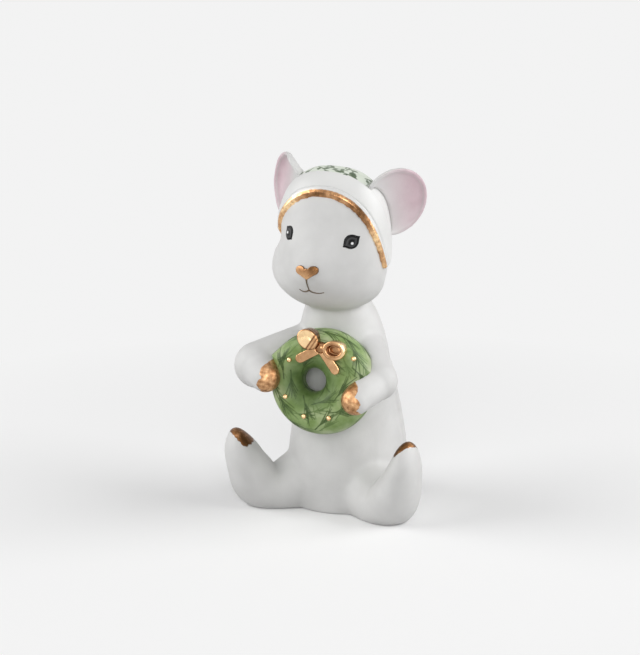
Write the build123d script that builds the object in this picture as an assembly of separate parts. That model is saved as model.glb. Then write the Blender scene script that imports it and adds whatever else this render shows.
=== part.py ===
from build123d import *
import math
import os

# Seated mouse figurine in biscuit porcelain, hugging a round wreath.
# Millimetres, +Z up, the mouse faces -Y and its left side is at +X.
# The origin is on the table, under the middle of the torso.
# Hollow and solid castings are luted together with slip, fired, painted and gilded.

# Torso: a hollow pear that leans forward into the neck
seat_radius = 13.0
hip_radius = 13.8
hip_height = 8.0
waist_radius = 12.0
waist_height = 24.0
chest_radius = 10.7
chest_height = 36.0
neck_radius = 8.4
neck_height = 46.5
neck_lean = 3.0
neck_aside = 0.5
neck_root_radius = 5.0
cast_wall = 2.6
air_hole_radius = 1.5
air_hole_back = 5.0
neck_passage_radius = 2.0

# Head: a hollow egg with a short snout, carried forward of the neck
head_half_width = 13.5
head_front = 11.2
head_back = 12.2
skull_rise = 23.0
skull_fullness = 0.56
brow_fullness = 0.68
chin_drop = 9.4
jaw_tuck = 0.31
jaw_half_height = 6.0
snout_reach = 3.3
snout_rise = 3.0
snout_half_width = 5.5
snout_half_height = 4.6
head_above_neck = 10.7
head_forward = 8.0
head_aside = 1.2
head_roll = 5.2
head_turn = 1.0

# Hat: a thin crown, a rolled band and a gilded lip, all bedded in a step behind the face
hat_seat = 1.2
crown_thickness = 1.4
band_thickness = 1.9
band_width = 4.2
lip_thickness = 1.7
lip_width = 1.2
brim_ahead = 1.0
brim_tilt = 20.6
hem_rise = 3.2
hem_tilt = 10.0

# Face: almond eyes and a heart-shaped nose in low relief
eye_aside = 7.4
eye_rise = 9.2
eye_half_width = 1.35
eye_half_height = 1.75
eye_relief = 0.3
nose_aside = -0.7
nose_rise = 2.5
nose_lobe_radius = 1.2
nose_lobe_aside = 1.5
nose_tip_drop = 2.5
nose_relief = 0.6

# Ears: thin cups that face forward and outward
ear_radius = 8.3
ear_depth = 3.8
ear_root = 2.0
ear_floor = 2.0
ear_wall = 1.0
ear_bowl_radius = 6.0
ear_bowl_rise = 1.4
ear_bowl_slope = 30.0
left_ear_spread = 13.4
left_ear_rise = 17.0
right_ear_spread = 13.1
right_ear_rise = 16.5
ear_set_back = 2.6
ear_turn = 48.0
left_ear_splay = 12.0
right_ear_splay = 4.0

# Legs: horns that run out from the hips and turn up into the feet
left_leg_angle = 50.5
right_leg_angle = 56.0
left_foot_rise = 1.0
left_foot_draw = 1.0
right_foot_rise = -0.5
right_foot_draw = 0.1
foot_reach = 24.2
heel_set_back = 3.6
shank_set_back = 3.4
haunch_set_back = 4.7
ball_set_out = 1.8
toe_set_out = 0.8
toe_height = 19.3
toe_above_ball = 3.3
ball_above_foot = 5.0
hip_reach = 6.0
hip_half_width = 7.2
hip_half_depth = 8.2
heel_reach = foot_reach - heel_set_back
heel_height = 5.6
heel_half_width = 6.0
heel_half_depth = 5.4
shank_reach = heel_reach - shank_set_back
shank_height = 4.4
shank_half_width = 6.4
shank_half_depth = 4.9
haunch_reach = shank_reach - haunch_set_back
haunch_height = 5.2
haunch_half_width = 7.2
haunch_half_depth = 7.2
ball_reach = foot_reach + ball_set_out
ball_height = toe_height - toe_above_ball
ball_half_width = 4.6
ball_half_depth = 2.9
foot_height = ball_height - ball_above_foot
foot_half_width = 5.6
foot_half_depth = 4.2
toe_reach = ball_reach + toe_set_out
toe_round = 6.0
toe_gilt_depth = 1.6
toe_gilt_reach = 3.6
toe_gilt_tilt = 50.0

# Wreath: a thick ring that leans back against the belly
wreath_outer_radius = 12.2
wreath_hole_radius = 2.7
wreath_hole_aside = 1.8
wreath_half_depth = 4.6
wreath_land = 0.3
wreath_below_neck = 14.1
wreath_height = neck_height - wreath_below_neck
wreath_lean = 8.0
wreath_turn = 3.0
wreath_roll = 7.0
wreath_bed = 1.6

# Arms: bent rolls from the shoulders to the wreath, elbows and paws placed from its middle
shoulder_out = 4.6
shoulder_drop = 7.0
shoulder_radius = 4.9
left_elbow_out = 12.2
left_elbow_up = 2.4
left_elbow_ahead = -1.6
left_elbow_radius = 4.6
right_elbow_out = 16.0
right_elbow_up = 0.6
right_elbow_ahead = 0.6
right_elbow_radius = 5.4
elbow_tuck = 0.3
left_paw_out = 9.9
left_paw_up = -1.8
right_paw_out = 11.8
right_paw_up = -1.0
paw_ahead = 6.0
paw_radius = 3.3
paw_gilt_length = 3.6
paw_gilt_turn = 50.0

# Bow: a ribbon tied over the top of the wreath
bow_up = 8.2
bow_aside = -0.4
ribbon_width = 2.1
ribbon_thickness = 0.8
knot_radius = 1.4
loop_half_length = 2.7
loop_half_width = 2.2
left_loop_wall = 1.1
right_loop_wall = 1.6
loop_height = 1.8
loop_sink = 1.8
loop_edge_round = 0.35
left_loop_angle = 2.0
right_loop_angle = 155.0
left_tail_length = 7.0
left_tail_angle = 314.0
right_tail_length = 6.6
right_tail_angle = 217.0

# Berries: gilded beads on the wreath, each at its own angle and distance from the middle
berry_radius = 0.6
berry_places = ((44, 10.3), (152, 8.4), (213, 8.3), (257, 8.3), (299, 8.3))

# Tail: a tapered roll that rises along the left flank
tail_root_radius = 2.4
tail_tip_radius = 1.1
tail_top = 28.0
tail_root_angle = 150.0
tail_top_angle = 106.0
tail_sink = -0.2

# How finely the lofted forms are drawn
ring_points = 12
head_levels = 10
leg_stations = 10
tail_stations = 6


def torso_rings():
    return (
        (0.0, seat_radius),
        (hip_height, hip_radius),
        (waist_height, waist_radius),
        (chest_height, chest_radius),
        (neck_height, neck_radius),
        (neck_height + head_above_neck / 2, neck_root_radius),
    )


def torso_radius(height):
    """Radius of the torso between its named rings, for pieces that lie on it."""
    rings = torso_rings()
    for (low, low_radius), (high, high_radius) in zip(rings, rings[1:]):
        if height <= high:
            share = (height - low) / (high - low)
            return low_radius + share * (high_radius - low_radius)
    return neck_root_radius


def torso_lean(height):
    """Forward shift of the torso, which grows with the cube of the height."""
    return neck_lean * (height / neck_height) ** 3


def torso_aside(height):
    """Shift of the torso to the mouse's right, which grows in the same way."""
    return neck_aside * (height / neck_height) ** 3


def torso_form(grow):
    """Loft of round rings, from the seat to a root inside the head."""
    sections = []
    for height, radius in torso_rings():
        sections.append(Pos(-torso_aside(height), -torso_lean(height), height) * Circle(radius + grow))
    return loft(sections)


def torso_hollow():
    """Room left by the slip, with an air hole in the seat and a passage up to the head."""
    room = split(torso_form(-cast_wall), Plane.XY.offset(cast_wall), keep=Keep.TOP)
    room = split(room, Plane.XY.offset(neck_height - cast_wall), keep=Keep.BOTTOM)
    air_hole = Pos(0, air_hole_back, 0) * extrude(Circle(air_hole_radius), 2 * cast_wall)
    foot = Vector(-torso_aside(neck_height), -torso_lean(neck_height), neck_height - 2 * cast_wall)
    head_middle = head_place().position
    passage = extrude(Plane(origin=foot, z_dir=head_middle - foot) * Circle(neck_passage_radius),
                      (head_middle - foot).length)
    return room + air_hole, passage


def head_ring(height, half_width, front, back, tuck, snout):
    """Oval ring that narrows towards the nape and reaches forward at the snout."""
    points = []
    for k in range(ring_points):
        angle = 2 * math.pi * k / ring_points
        x = half_width * math.cos(angle)
        reach = math.sin(angle)
        if reach > 0:
            x *= 1 - tuck * reach
            y = back * reach
        else:
            y = front * reach - snout * math.exp(-(x / snout_half_width) ** 2)
        points.append(Vector(x, y, height))
    return Wire([Edge.make_spline(points, periodic=True)])


def head_form(grow):
    """Egg with a full skull and a snout in the head's own frame, grown evenly all round."""
    sections = [Vertex(0, 0, -chin_drop - grow)]
    for k in range(1, head_levels):
        rise = math.pi * (k / head_levels - 0.5)
        height = ((skull_rise if rise > 0 else chin_drop) + grow) * math.sin(rise)
        width_share = math.cos(rise) ** (skull_fullness if rise > 0 else 1)
        depth_share = math.cos(rise) ** (brow_fullness if rise > 0 else 1)
        sections.append(head_ring(
            height,
            (head_half_width + grow) * width_share,
            (head_front + grow) * depth_share,
            (head_back + grow) * depth_share,
            jaw_tuck * math.exp(-((height + chin_drop / 2) / jaw_half_height) ** 2),
            snout_reach * math.exp(-((height - snout_rise) / snout_half_height) ** 2),
        ))
    sections.append(Vertex(0, 0, skull_rise + grow))
    return Solid.make_loft(sections)


def head_place():
    middle = Location((-head_aside, -head_forward, neck_height + head_above_neck))
    return middle * Rotation(0, head_roll, 0) * Rotation(0, 0, head_turn)


def brim_plane(behind):
    """Plane across the head, square to the brim, facing forward and a little down."""
    tilt = math.radians(brim_tilt)
    facing = Vector(0, -math.cos(tilt), -math.sin(tilt))
    return Plane(origin=Vector(0, -brim_ahead, 0) - facing * behind, z_dir=facing)


def hem_plane():
    """Plane under the hat, which rises from the cheeks to the back of the head, facing down."""
    tilt = math.radians(hem_tilt)
    return Plane(origin=(0, 0, hem_rise), z_dir=(0, math.sin(tilt), -math.cos(tilt)))


def hat_layer(skull, thickness, front, back=None):
    """Shell over the stepped skull, above the hem and between two planes behind the brim's front edge."""
    slab = split(head_form(thickness - hat_seat), brim_plane(front), keep=Keep.BOTTOM)
    slab = split(slab, hem_plane(), keep=Keep.BOTTOM)
    if back is not None:
        slab = split(slab, brim_plane(back), keep=Keep.TOP)
    return slab - skull


def ear_form(side, spread, rise, splay):
    """Cup turned about its own axis, then set on the side of the head."""
    rim = (ear_radius, ear_depth)
    inner_rim = (ear_radius - ear_wall, ear_depth)
    slope = math.radians(ear_bowl_slope)
    bowl = (ear_bowl_radius, ear_bowl_rise)
    inner_bowl = (ear_bowl_radius - ear_wall * math.sin(slope), ear_bowl_rise + ear_wall * math.cos(slope))
    with BuildPart() as cup:
        with BuildSketch(Plane.XZ):
            with BuildLine():
                Spline((0, -ear_root), bowl, rim, tangents=((1, 0), (0, 1)))
                Line(rim, inner_rim)
                Spline(inner_rim, inner_bowl, (0, ear_floor), tangents=((0, -1), (-1, 0)))
                Line((0, ear_floor), (0, -ear_root))
            make_face()
        revolve(axis=Axis.Z)
    # The cup opens along its +Z, which is turned to face forward and outward.
    face = Rotation(0, 0, side * ear_turn) * Rotation(90, 0, 0)
    spot = Location((side * spread, ear_set_back, rise))
    return spot * Rotation(0, side * splay, 0) * face * Pos(0, 0, -ear_depth) * cup.part


def face_relief(outline, aside, rise, relief, face):
    """Outline pressed forward out of the face as a low relief that follows its curve."""
    sheet = Plane(origin=(aside, 0, rise), x_dir=(1, 0, 0), z_dir=(0, -1, 0))
    stem = extrude(sheet * outline, 2 * (head_front + snout_reach))
    return (stem & head_form(relief)) - face


def nose_outline():
    """Heart: two round lobes and a point that runs down from their outer sides."""
    lobe = Circle(nose_lobe_radius)
    low = nose_lobe_radius / 2
    half = nose_lobe_aside + math.sqrt(nose_lobe_radius ** 2 - low ** 2)
    point = Polygon((-half, -low), (0, -nose_tip_drop), (half, -low), (0, low), align=None)
    return Pos(-nose_lobe_aside, 0) * lobe + Pos(nose_lobe_aside, 0) * lobe + point


def between(values, share):
    """Value at a share of the way along an evenly spaced row of values."""
    place = share * (len(values) - 1)
    k = min(int(place), len(values) - 2)
    return values[k] + (values[k + 1] - values[k]) * (place - k)


def leg_form(side, leg_angle, rise, draw):
    """Ovals along a bent spine from the hip to the foot, cut flat on the table, and the gilded toe."""
    angle = math.radians(leg_angle)
    out = Vector(side * math.sin(angle), -math.cos(angle), 0)
    across = Vector(math.cos(angle), side * math.sin(angle), 0)
    bends = (
        (hip_reach, haunch_height),
        (haunch_reach, haunch_height),
        (shank_reach, shank_height),
        (heel_reach, heel_height),
        (foot_reach - draw / 2, foot_height + rise / 2),
        (ball_reach - draw, ball_height + rise),
        (toe_reach - draw, toe_height + rise),
    )
    spine = Edge.make_spline([out * reach + Vector(0, 0, height) for reach, height in bends])
    half_widths = (hip_half_width, haunch_half_width, shank_half_width,
                   heel_half_width, foot_half_width, ball_half_width)
    half_depths = (hip_half_depth, haunch_half_depth, shank_half_depth,
                   heel_half_depth, foot_half_depth, ball_half_depth)
    sections = []
    for k in range(leg_stations):
        # Stations crowd towards the toe, where the ovals shrink along a quarter circle.
        share = math.sin(math.pi / 2 * k / leg_stations)
        to_tip = (1 - share) * spine.length
        shrink = math.sqrt(1 - max(0, 1 - to_tip / toe_round) ** 2)
        plane = Plane(origin=spine.position_at(share), x_dir=across, z_dir=spine.tangent_at(share))
        oval = Ellipse(between(half_widths, share) * shrink, between(half_depths, share) * shrink)
        sections.append(plane * oval)
    sections.append(Vertex(*spine.position_at(1)))
    leg = split(loft(sections), Plane.XY, keep=Keep.TOP)
    # The gilding lies on the upper side of the toe, so its plane leans back towards the body.
    tip = spine.position_at(1)
    tip_way = spine.tangent_at(1)
    tilt = math.radians(toe_gilt_tilt)
    gilt_way = tip_way * math.cos(tilt) - out * math.sin(tilt)
    toe = split(leg, Plane(origin=tip - tip_way * toe_gilt_reach, z_dir=tip_way), keep=Keep.TOP)
    toe = split(toe, Plane(origin=tip - gilt_way * toe_gilt_depth, z_dir=gilt_way), keep=Keep.TOP)
    return leg - toe, toe


def wreath_place():
    touch = torso_radius(wreath_height) + torso_lean(wreath_height)
    middle = Location((0, -touch - wreath_half_depth + wreath_bed, wreath_height))
    # The wreath's own +Z points forward, its +Y up and its +X to the mouse's left.
    facing = Rotation(0, 0, wreath_turn) * Rotation(90 - wreath_lean, 0, 0)
    return middle * facing * Rotation(0, 0, -wreath_roll)


def wreath_lip():
    return wreath_half_depth - wreath_land


def wreath_flat():
    return wreath_hole_radius + wreath_hole_aside + wreath_lip() + wreath_land


def wreath_form(grow):
    """Round bun in the wreath's own frame, with a flared hole a little off its middle."""
    depth = wreath_half_depth + grow
    flat = wreath_flat()
    with BuildPart() as bun:
        with BuildSketch(Plane.XZ):
            with BuildLine():
                Line((0, -depth), (flat, -depth))
                EllipticalCenterArc((flat, 0), wreath_outer_radius + grow - flat, depth, -90, arc_size=180)
                Line((flat, depth), (0, depth))
                Line((0, depth), (0, -depth))
            make_face()
        revolve(axis=Axis.Z)
        with Locations((-wreath_hole_aside, 0, 0)):
            Cylinder(wreath_hole_radius - grow, 2 * depth, mode=Mode.SUBTRACT)
        rims = bun.edges().filter_by(GeomType.CIRCLE).sort_by(SortBy.RADIUS)[:2]
        fillet(rims, wreath_lip() + grow)
    return bun.part


def tapered_roll(start, start_radius, end, end_radius):
    """Roll of clay with round ends, wider at one end than at the other."""
    length = (end - start).length
    sine = (start_radius - end_radius) / length
    cosine = math.sqrt(1 - sine * sine)
    first = (start_radius * cosine, start_radius * sine)
    last = (end_radius * cosine, length + end_radius * sine)
    with BuildPart() as roll:
        with BuildSketch(Plane.XZ):
            with BuildLine():
                RadiusArc((0, -start_radius), first, -start_radius)
                Line(first, last)
                RadiusArc(last, (0, length + end_radius), -end_radius)
                Line((0, length + end_radius), (0, -start_radius))
            make_face()
        revolve(axis=Axis.Z)
    return Plane(origin=start, z_dir=end - start) * roll.part


def arm_form(side, elbow_spot, elbow_radius, paw_out, paw_up):
    """Arm from the shoulder to the wrist, and the gilded paw."""
    hold = wreath_place()
    shoulder = Vector(side * shoulder_out, -torso_lean(neck_height), neck_height - shoulder_drop)
    elbow = (hold * Location(elbow_spot)).position
    paw = (hold * Location((side * paw_out, paw_up, paw_ahead))).position
    ahead = (paw - elbow).normalized()
    # The gilding covers the fingers, so its plane turns from the forearm towards the wreath's middle.
    inward = hold.position - paw
    inward = (inward - ahead * inward.dot(ahead)).normalized()
    turn = math.radians(paw_gilt_turn)
    gilt_way = ahead * math.cos(turn) + inward * math.sin(turn)
    upper = tapered_roll(shoulder, shoulder_radius, elbow, elbow_radius)
    lower = tapered_roll(elbow, elbow_radius - elbow_tuck, paw, paw_radius)
    arm = upper + lower
    hand = split(lower, Plane(origin=paw - ahead * paw_radius, z_dir=ahead), keep=Keep.TOP)
    gilt_start = paw + gilt_way * (paw_radius - paw_gilt_length)
    hand = split(hand, Plane(origin=gilt_start, z_dir=gilt_way), keep=Keep.TOP)
    return arm - hand, hand


def bow_loop(angle, wall):
    """Ribbon bent into an upright oval loop that stands on the wreath beside the knot."""
    outer = Ellipse(loop_half_length, loop_half_width)
    inner = Ellipse(loop_half_length - wall, loop_half_width - wall)
    loop = extrude(outer - inner, loop_sink + loop_height)
    loop = fillet(loop.edges().group_by(Axis.Z)[-1], loop_edge_round)
    reach = knot_radius / 2 + loop_half_length
    foot = Pos(bow_aside, bow_up, wreath_half_depth - loop_sink)
    return foot * Rotation(0, 0, angle) * Pos(reach, 0, 0) * loop


def bow_tail(length, angle, skin):
    """Flat strip of ribbon that follows the wreath's face down from the knot."""
    strip = extrude(Pos(length / 2, 0) * SlotOverall(length, ribbon_width), 2 * wreath_half_depth)
    return (Pos(bow_aside, bow_up, 0) * Rotation(0, 0, angle) * strip) & skin


def bow_forms():
    """Knot, two tails and two loops in the wreath's own frame, each cut by those before it."""
    bare = wreath_form(0)
    skin = wreath_form(ribbon_thickness)
    forms = {
        "bow_knot": Pos(bow_aside, bow_up, wreath_half_depth) * Sphere(knot_radius),
        "bow_tail_left": bow_tail(left_tail_length, left_tail_angle, skin),
        "bow_tail_right": bow_tail(right_tail_length, right_tail_angle, skin),
        "bow_loop_left": bow_loop(left_loop_angle, left_loop_wall),
        "bow_loop_right": bow_loop(right_loop_angle, right_loop_wall),
    }
    seated = {}
    for name, form in forms.items():
        form -= bare
        for earlier in seated.values():
            form -= earlier
        seated[name] = form
    return seated


def wreath_face(distance):
    """Height of the wreath's front face at a distance from its middle."""
    flat = wreath_flat()
    if distance <= flat:
        return wreath_half_depth
    share = (distance - flat) / (wreath_outer_radius - flat)
    return wreath_half_depth * math.sqrt(1 - share * share)


def berry_beads():
    beads = []
    for angle, distance in berry_places:
        beads.append(Rotation(0, 0, angle) * Pos(distance, 0, wreath_face(distance)) * Sphere(berry_radius))
    return beads


def tail_form():
    sections = []
    for k in range(tail_stations):
        share = k / (tail_stations - 1)
        height = tail_root_radius + share * (tail_top - tail_root_radius)
        angle = math.radians(tail_root_angle + (tail_top_angle - tail_root_angle) * math.sqrt(share))
        radius = tail_root_radius + (tail_tip_radius - tail_root_radius) * share
        reach = torso_radius(height) + tail_sink * radius
        x = reach * math.sin(angle) - torso_aside(height)
        y = -reach * math.cos(angle) - torso_lean(height)
        sections.append(Pos(x, y, height) * Circle(radius))
    return loft(sections)


def head_pieces(torso_skin):
    """Head, hat, ears, eyes and nose, made in the head's own frame and then put in place."""
    place = head_place()
    neck = place.inverse() * torso_skin
    face = head_form(0)
    skull = head_form(-hat_seat)
    step = split(head_form(hat_seat), brim_plane(0), keep=Keep.BOTTOM)
    step = split(step, hem_plane(), keep=Keep.BOTTOM) - skull
    lip_end = lip_width
    band_end = lip_end + band_width
    crown = hat_layer(skull, crown_thickness, band_end)
    band = hat_layer(skull, band_thickness, lip_end, band_end)
    lip = hat_layer(skull, lip_thickness, 0, lip_end)
    hat_skin = head_form(crown_thickness - hat_seat) + band
    made = {
        "head": face - step,
        "hat_crown": crown - neck,
        "hat_band": band - neck,
        "hat_gold_edge": lip - neck,
        "nose": face_relief(nose_outline(), nose_aside, nose_rise, nose_relief, face),
    }
    for name, side, spread, rise, splay in (
        ("left", 1, left_ear_spread, left_ear_rise, left_ear_splay),
        ("right", -1, right_ear_spread, right_ear_rise, right_ear_splay),
    ):
        made[f"ear_{name}"] = ear_form(side, spread, rise, splay) - hat_skin
        almond = Ellipse(eye_half_width, eye_half_height)
        made[f"eye_{name}"] = face_relief(almond, side * eye_aside, eye_rise, eye_relief, face)
    return {name: place * piece for name, piece in made.items()}


def build_pieces():
    torso_skin = torso_form(0)
    pieces = head_pieces(torso_skin)
    room, passage = torso_hollow()
    pieces["torso"] = torso_skin - pieces["head"] - room - passage
    pieces["head"] = pieces["head"] - head_place() * head_form(-hat_seat - cast_wall) - passage
    for name, side, angle, rise, draw in (
        ("left", 1, left_leg_angle, left_foot_rise, left_foot_draw),
        ("right", -1, right_leg_angle, right_foot_rise, right_foot_draw),
    ):
        leg, toe = leg_form(side, angle, rise, draw)
        pieces[f"leg_{name}"] = leg - torso_skin
        pieces[f"toe_{name}"] = toe
    hold = wreath_place()
    wreath = hold * wreath_form(0) - torso_skin
    pieces["wreath"] = wreath
    left_elbow = (left_elbow_out, left_elbow_up, left_elbow_ahead)
    right_elbow = (-right_elbow_out, right_elbow_up, right_elbow_ahead)
    for name, side, elbow, radius, out, up in (
        ("left", 1, left_elbow, left_elbow_radius, left_paw_out, left_paw_up),
        ("right", -1, right_elbow, right_elbow_radius, right_paw_out, right_paw_up),
    ):
        arm, hand = arm_form(side, elbow, radius, out, up)
        pieces[f"arm_{name}"] = arm - torso_skin - wreath
        pieces[f"paw_{name}"] = hand - wreath
    for name, form in bow_forms().items():
        pieces[name] = hold * form
    bare = wreath_form(0)
    pieces["wreath_berries"] = Compound([hold * (bead - bare) for bead in berry_beads()])
    pieces["tail"] = tail_form() - torso_skin
    return pieces


pieces = build_pieces()
os.makedirs("parts", exist_ok=True)
for name, piece in pieces.items():
    export_step(piece, f"parts/{name}.step")
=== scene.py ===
import math
import random

import bpy
import numpy as np
from mathutils import Matrix, Vector
from mathutils.bvhtree import BVHTree


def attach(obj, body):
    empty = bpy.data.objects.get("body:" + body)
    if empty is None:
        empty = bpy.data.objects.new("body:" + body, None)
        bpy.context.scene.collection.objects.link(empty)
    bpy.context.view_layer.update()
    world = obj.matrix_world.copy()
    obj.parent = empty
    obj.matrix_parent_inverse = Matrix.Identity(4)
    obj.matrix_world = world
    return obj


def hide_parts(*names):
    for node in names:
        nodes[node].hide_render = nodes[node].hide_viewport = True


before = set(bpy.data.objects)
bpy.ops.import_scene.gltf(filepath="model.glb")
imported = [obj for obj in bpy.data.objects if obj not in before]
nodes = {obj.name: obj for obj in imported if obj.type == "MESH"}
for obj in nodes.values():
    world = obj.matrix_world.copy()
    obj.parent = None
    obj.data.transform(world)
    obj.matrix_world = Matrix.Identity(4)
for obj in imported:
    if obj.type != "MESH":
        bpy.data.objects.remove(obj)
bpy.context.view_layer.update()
mm = 0.001
random.seed(7)


def turned(*steps):
    """Turn made of single turns about one axis each, in degrees."""
    turn = Matrix.Identity(3)
    for axis, degrees in steps:
        turn = turn @ Matrix.Rotation(math.radians(degrees), 3, axis)
    return turn


# Places, ways and turns taken from the solids, in millimetres and degrees
head_middle = Vector((-1.2, -8.0, 57.2))
head_turn = turned(("Y", 5.2), ("Z", 1.0))
wreath_middle = np.array((0.0, -15.1, 32.4))
wreath_turn = np.array(turned(("Z", 3.0), ("X", 82.0), ("Z", -7.0)))
ear_faces = {"left": Vector((0.72, -0.66, -0.22)), "right": Vector((-0.73, -0.68, 0.01))}
ear_middles = {"left": Vector((13.6, -5.2, 72.9)), "right": Vector((-12.8, -5.6, 74.8))}
ear_radius = 8.3
paw_middles = {"left": (9.9, -21.0, 30.3), "right": (-11.5, -21.6, 33.7)}
paw_gilt_ways = {"left": (-0.91, -0.40, -0.13), "right": (0.98, -0.02, -0.17)}
toe_tips = {"left": (19.9, -16.4, 20.3), "right": (-22.1, -14.9, 18.8)}
toe_ways = {"left": (0.21, -0.18, 0.96), "right": (-0.17, -0.11, 0.98)}
toe_gilt_ways = {"left": (-0.53, 0.44, 0.72), "right": (0.60, 0.39, 0.70)}
loop_places = {"left": ((3.0, 8.3), 2.0), "right": ((-3.5, 9.6), 155.0)}
loop_half_length = 2.7
loop_half_width = 2.2

# A hand's unevenness in millimetres: dented hat, pressed seat, tapered left foot, tucked brim
dent_middle = (-13.7, -12.8, 64.3)
dent_draw = (1.26, 0.49, 0.0)
dent_reach = 3.8
settle_depth = 1.6
settle_height = 12.0
settle_edge = 0.12
taper_way = (0.93, 0.36, 0.0)
taper_rise = (6.0, 17.0)
taper_top = (25.5, 23.0)
taper_out = (10.0, 13.0)
taper_ahead = (-7.0, -10.0)
taper_shift = 1.1
taper_share = 0.3
tuck_start = 66.5
tuck_end = 63.5
tuck_depth = 1.6

# How the clay is refined: voxels in metres, and how often each piece is rubbed soft
weld = 0.00001
skin_voxel = 0.36 * mm
trim_voxel = 0.2 * mm
paint_voxel = 0.16 * mm
fine_voxel = 0.12 * mm
edge_voxel = 0.1 * mm
nose_voxel = 0.08 * mm
berry_voxel = 0.07 * mm
rub = 0.5
rubs = {"skin": 4, "wreath": 5, "crown": 5, "ear": 6, "band": 8, "edge": 12, "nose": 8, "loop": 8,
        "bow_tail": 6, "bow_knot": 5, "berries": 3}
ear_rubs_after = 40
melt_reach = 3.5 * mm
melt_least = 0.01
melt_passes = 40

# Camera of the photograph: bearing and height in degrees, millimetres, frame in pixels
photo_height = 655
camera_bearing = 21.0
camera_height = 14.0
camera_distance = 520.0
camera_pixels = 2184.0
photo_scale = 4.2
aim_right = -26.0
aim_up = 169.0
sensor_height = 36.0
camera_nearest = 0.01


def pick(*pieces):
    """Deselects everything, then selects these pieces and makes the last one active."""
    bpy.ops.object.select_all(action="DESELECT")
    for piece in pieces:
        piece.select_set(True)
    bpy.context.view_layer.objects.active = pieces[-1]


def apply_modifier(piece, kind, **settings):
    pick(piece)
    modifier = piece.modifiers.new(kind.lower(), kind)
    for key, value in settings.items():
        setattr(modifier, key, value)
    bpy.ops.object.modifier_apply(modifier=modifier.name)


def clay_copy(node, name):
    """Copy of a node's solid with its triangles welded."""
    piece = bpy.data.objects.new(name, nodes[node].data.copy())
    bpy.context.scene.collection.objects.link(piece)
    piece.data.materials.clear()
    pick(piece)
    bpy.ops.mesh.customdata_custom_splitnormals_clear()
    bpy.ops.object.mode_set(mode="EDIT")
    bpy.ops.mesh.select_all(action="SELECT")
    bpy.ops.mesh.remove_doubles(threshold=weld)
    bpy.ops.object.mode_set(mode="OBJECT")
    return piece


def refine(piece, voxel, passes):
    """Even fine clay over the whole piece, with its edges rubbed soft."""
    apply_modifier(piece, "REMESH", mode="VOXEL", voxel_size=voxel, use_smooth_shade=True)
    apply_modifier(piece, "SMOOTH", factor=rub, iterations=passes)


def corners(piece):
    spots = np.empty(len(piece.data.vertices) * 3, np.float32)
    piece.data.vertices.foreach_get("co", spots)
    return spots.reshape(-1, 3).astype(float)


def reshape(piece, spots):
    """Moves the corners of a piece to new places in millimetres."""
    piece.data.vertices.foreach_set("co", (spots * mm).astype(np.float32).ravel())
    piece.data.update()


def dented(spots):
    """Side of the hat drawn in above the mouse's right cheek."""
    reach = np.linalg.norm(spots - np.array(dent_middle), axis=1) / dent_reach
    return spots + np.exp(-reach ** 2)[:, None] * np.array(dent_draw)


def settled(spots):
    """Foot of the figure pressed down flat on the table."""
    down = spots.copy()
    down[:, 2] -= settle_depth * soft_step(settle_height, settle_depth, spots[:, 2])
    down[:, 2] = np.maximum(down[:, 2], np.minimum(spots[:, 2], settle_edge * spots[:, 2]))
    return down


def tapered(spots):
    """Left foot drawn narrower towards its toes, on the side next to the belly."""
    sideways = np.array(taper_way)
    across = (spots - np.array(toe_tips["left"])) @ sideways
    weight = soft_step(*taper_rise, spots[:, 2]) * soft_step(*taper_top, spots[:, 2])
    weight *= soft_step(*taper_out, spots[:, 0]) * soft_step(*taper_ahead, spots[:, 1])
    return spots + (weight * (taper_shift - taper_share * across))[:, None] * sideways


def tucked(spots):
    """Right end of the brim drawn in under the cheek."""
    depth = tuck_depth * soft_step(tuck_start, tuck_end, spots[:, 2]) * (spots[:, 0] < head_middle.x)
    inward = np.array(head_middle) - spots
    inward[:, 2] = 0
    return spots + inward / np.linalg.norm(inward, axis=1)[:, None] * depth[:, None]


def normals(piece):
    ways = np.empty(len(piece.data.vertices) * 3, np.float32)
    piece.data.vertices.foreach_get("normal", ways)
    return ways.reshape(-1, 3).astype(float)


def tree_of(piece):
    mesh = piece.data
    return BVHTree.FromPolygons([v.co for v in mesh.vertices], [p.vertices for p in mesh.polygons])


def gaps_to(tree, piece):
    """Distance in millimetres from each corner of a piece to the nearest face of a neighbour."""
    return np.array([tree.find_nearest(vertex.co)[3] for vertex in piece.data.vertices]) / mm


def paint(piece, name, values):
    layer = piece.data.attributes.new(name, "FLOAT", "POINT")
    layer.data.foreach_set("value", np.asarray(values, np.float32))


def soft_step(low, high, values):
    share = np.clip((values - low) / (high - low), 0, 1)
    return share * share * (3 - 2 * share)


def finish_piece(piece, node, material):
    piece.data.materials.clear()
    piece.data.materials.append(material)
    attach(piece, "root")
    if node is not None:
        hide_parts(node)


def new_material(name, **sockets):
    material = bpy.data.materials.new(name)
    material.use_nodes = True
    shader = material.node_tree.nodes["Principled BSDF"]
    for key, value in sockets.items():
        shader.inputs[key.replace("_", " ")].default_value = value
    return material, material.node_tree, shader


def object_spots(tree):
    return tree.nodes.new("ShaderNodeTexCoord").outputs["Object"]


def noise(tree, per_metre, detail=3.0):
    texture = tree.nodes.new("ShaderNodeTexNoise")
    texture.inputs["Scale"].default_value = per_metre
    texture.inputs["Detail"].default_value = detail
    tree.links.new(object_spots(tree), texture.inputs["Vector"])
    return texture.outputs["Fac"]


def ramp(tree, factor, *stops):
    blend = tree.nodes.new("ShaderNodeValToRGB")
    bar = blend.color_ramp.elements
    while len(bar) < len(stops):
        bar.new(0.5)
    for element, (place, colour) in zip(bar, stops):
        element.position = place
        element.color = (*colour, 1.0)
    tree.links.new(factor, blend.inputs["Fac"])
    return blend.outputs["Color"]


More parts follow.
